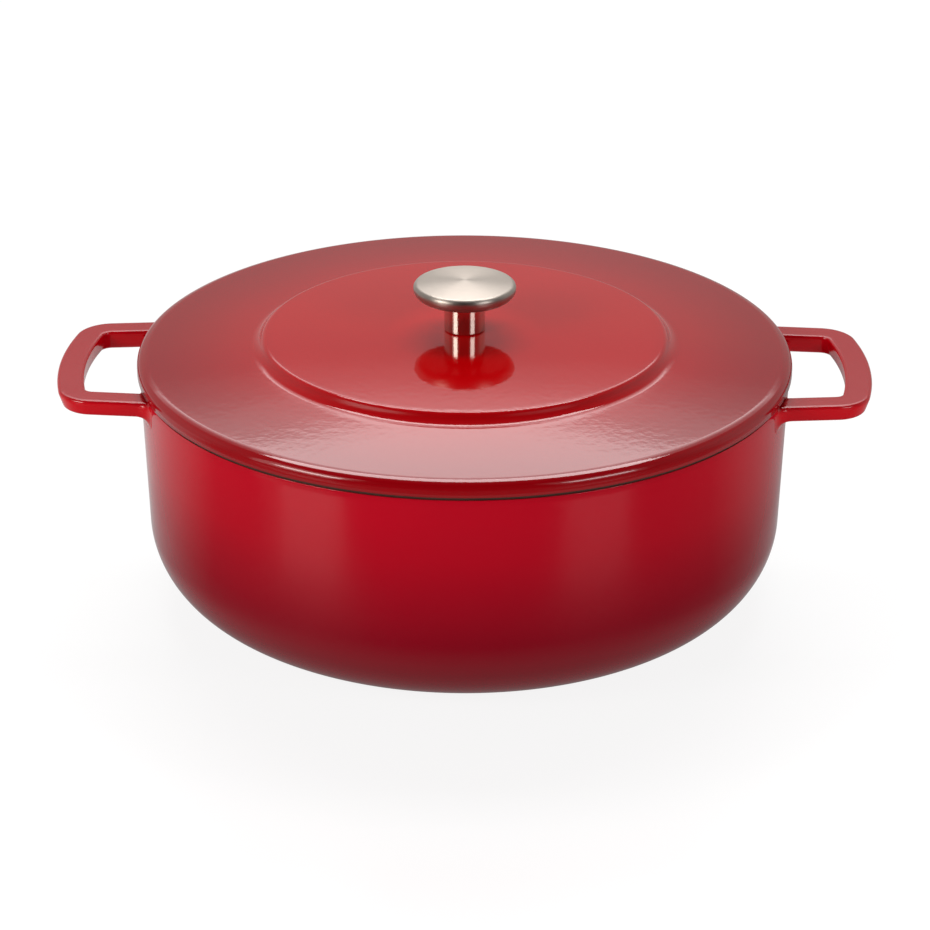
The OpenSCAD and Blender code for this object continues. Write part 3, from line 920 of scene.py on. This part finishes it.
# %% Soft boxes
def soft_box(name, azimuth, elevation, distance, size, radiance, colour=(1, 1, 1), target=(0, 0, 0.08)):
    """An area lamp facing the target, its size given as width and height. azimuth is counted in degrees from
    the camera's side towards the right, and elevation upwards. radiance is how bright its face is. That gives
    its power: radiance times pi times its area."""
    lamp = bpy.data.lights.new(name, "AREA")
    lamp.shape, lamp.size, lamp.size_y = "RECTANGLE", *size
    lamp.energy = radiance * math.pi * size[0] * size[1]
    lamp.color = colour
    piece = bpy.data.objects.new(name, lamp)
    bpy.context.scene.collection.objects.link(piece)
    a, e = math.radians(azimuth), math.radians(elevation)
    away = Vector((math.sin(a) * math.cos(e), -math.cos(a) * math.cos(e), math.sin(e)))
    piece.location = Vector(target) + away * distance
    piece.rotation_mode = "QUATERNION"
    piece.rotation_quaternion = away.to_track_quat("Z", "Y")
    piece.visible_camera = False
    print(f"{name}: radiance {radiance}, {lamp.energy:.1f} W")


# Each line gives the name, azimuth, elevation, distance, size, radiance and colour
WARM, COOL = (1.0, 0.97, 0.93), (0.98, 0.98, 1.0)
soft_box("left_box", -52, 25, 1.33, (0.5, 0.32), 11.0, WARM)
soft_box("right_box", 46, 25, 1.33, (0.5, 0.32), 7.0, COOL)
soft_box("left_fill", -56, 25, 1.38, (0.75, 1.0), 1.5, WARM)
soft_box("right_fill", 46, 25, 1.38, (0.75, 1.0), 0.38, COOL)
soft_box("top_box", 180, 66, 1.25, (1.1, 0.30), 8.5)

# %% [markdown]
# ## The glowing sheet
#
# The lid lies nearly flat, so what it shows is the wall behind it, and most of its look is one soft gradient
# from clear red at the back to milky pink at the front. An upright opal sheet behind the oven gives it: dark
# at its lower edge, brighter upwards in the way that one ramp says, and fading to both sides. A lamp can't
# hold such a gradient, and a sheet with an emission shader can.

# %% Opal sheet
SHEET_W, SHEET_LOW, SHEET_HIGH, SHEET_Y = 2.2, 0.68, 2.40, 1.4
panel = stage_plane("back_panel", [(-SHEET_W / 2, SHEET_Y, SHEET_LOW), (SHEET_W / 2, SHEET_Y, SHEET_LOW),
                                   (SHEET_W / 2, SHEET_Y, SHEET_HIGH), (-SHEET_W / 2, SHEET_Y, SHEET_HIGH)])
panel.visible_camera = False
opal, sheet = material("opal_sheet")
x, y, z = sheet.split(sheet.place())
# Dark at the lower edge, then the gradient that the lid shows, then a fall towards the top and the sides
rise = sheet.ramp(z, [(0.75, 0), (0.785, 0.058), (0.80, 0.07), (0.832, 0.145), (0.85, 0.243),
                      (0.886, 0.305), (0.905, 0.39), (0.92, 0.79), (0.934, 1.0)])
upper = sheet.ramp(z / SHEET_HIGH, [(0.42, 1), (0.48, 0.74), (1.0, 0.80)])
sides = sheet.ramp(x.math("ABSOLUTE"), [(0.45, 1), (1.0, 0)])
BRIGHT, DIM = 3.0, 0.5
power = rise * upper * sides * BRIGHT + DIM
sheet.node("ShaderNodeOutputMaterial", None, {0: sheet.node("ShaderNodeEmission", None, {1: power})})
panel.data.materials.append(opal)
print(f"opal sheet from {SHEET_LOW} to {SHEET_HIGH} m")

# %% [markdown]
# ## The camera
#
# A long lens from a step away keeps the lid's ellipse calm and the handles even. The camera looks down by
# about 25 degrees, which shows the whole lid and most of the wall.

# %% Camera
# The lens and the sensor are in mm, and the shift is a share of the sensor's width
DISTANCE = 1281.16 * MM
LENS, SENSOR, SHIFT = 116.97, 36.0, 0.00068
ELEVATION, AZIMUTH, ROLL = math.radians(24.625), math.radians(0.72), math.radians(0.119)
TARGET = Vector((0, 0, 51.66 * MM))
lens = bpy.data.cameras.new("camera")
lens.lens, lens.sensor_width = LENS, SENSOR
lens.shift_x = SHIFT
lens.clip_start, lens.clip_end = 0.05, 60.0
camera = bpy.data.objects.new("camera", lens)
bpy.context.scene.collection.objects.link(camera)
back = Vector((math.sin(AZIMUTH) * math.cos(ELEVATION), -math.cos(AZIMUTH) * math.cos(ELEVATION),
               math.sin(ELEVATION)))
aim = (-back).to_track_quat("-Z", "Y").to_matrix().to_4x4() @ Matrix.Rotation(ROLL, 4, "Z")
camera.matrix_world = Matrix.Translation(TARGET + back * DISTANCE) @ aim
bpy.context.scene.camera = camera
bpy.context.scene.view_settings.view_transform = "Standard"
print("camera at", tuple(round(v, 3) for v in camera.location))

# %% The size of the pieces, and of the CAD model
low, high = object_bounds()
for kind, corners in (("visual", (*low, *high)), ("cad", (*cad_low, *cad_high))):
    print(kind, [round(v / MM, 2) for v in corners], "mm")
